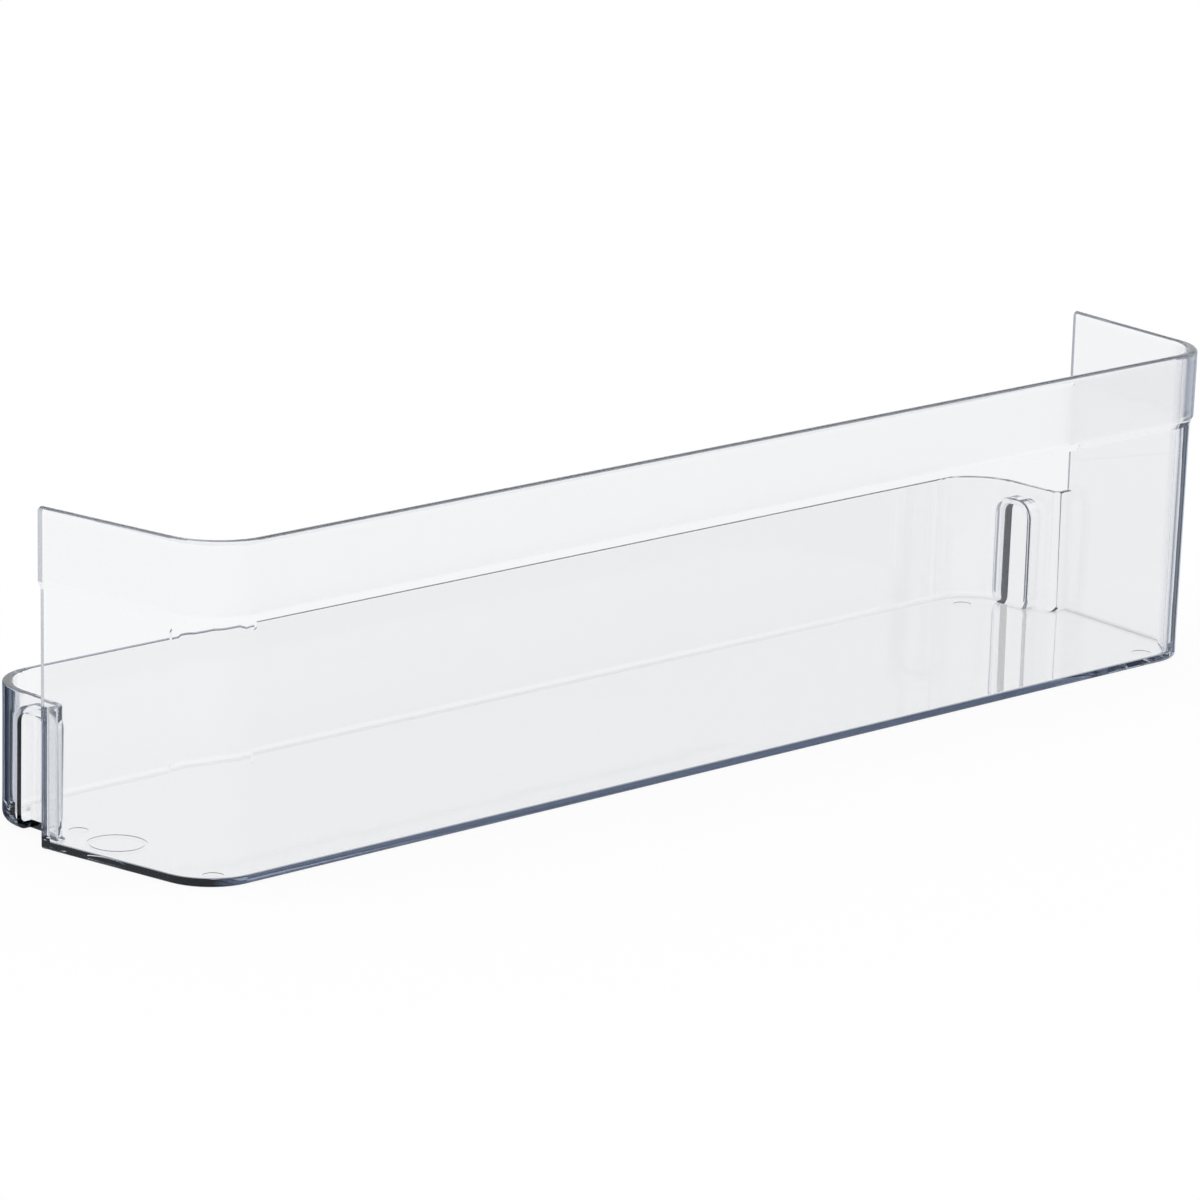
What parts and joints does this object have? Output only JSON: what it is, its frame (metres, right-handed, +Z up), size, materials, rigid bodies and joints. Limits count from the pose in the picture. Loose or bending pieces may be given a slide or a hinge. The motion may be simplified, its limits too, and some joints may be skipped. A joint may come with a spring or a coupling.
{
  "type": "fridge door shelf",
  "caption": "Clear plastic fridge door shelf: an open trough with a tall front, a frosted grip band and a low rear bay whose side channels drop over lugs on the door.",
  "frame": {"origin": "middle of the overall box, on the underside of the floor", "axes": "+X along the length, to the right as seen from in front of the shelf; +Y from the tall front wall to the door; +Z up, out of the open top"},
  "size_m": [0.4394, 0.1012, 0.1],
  "materials": {
    "clear_plastic": "polished clear moulding, fine frosted texture on the outside of the grip band"
  },
  "bodies": {
    "root": {"door_shelf": "clear_plastic"}
  },
  "joints": []
}
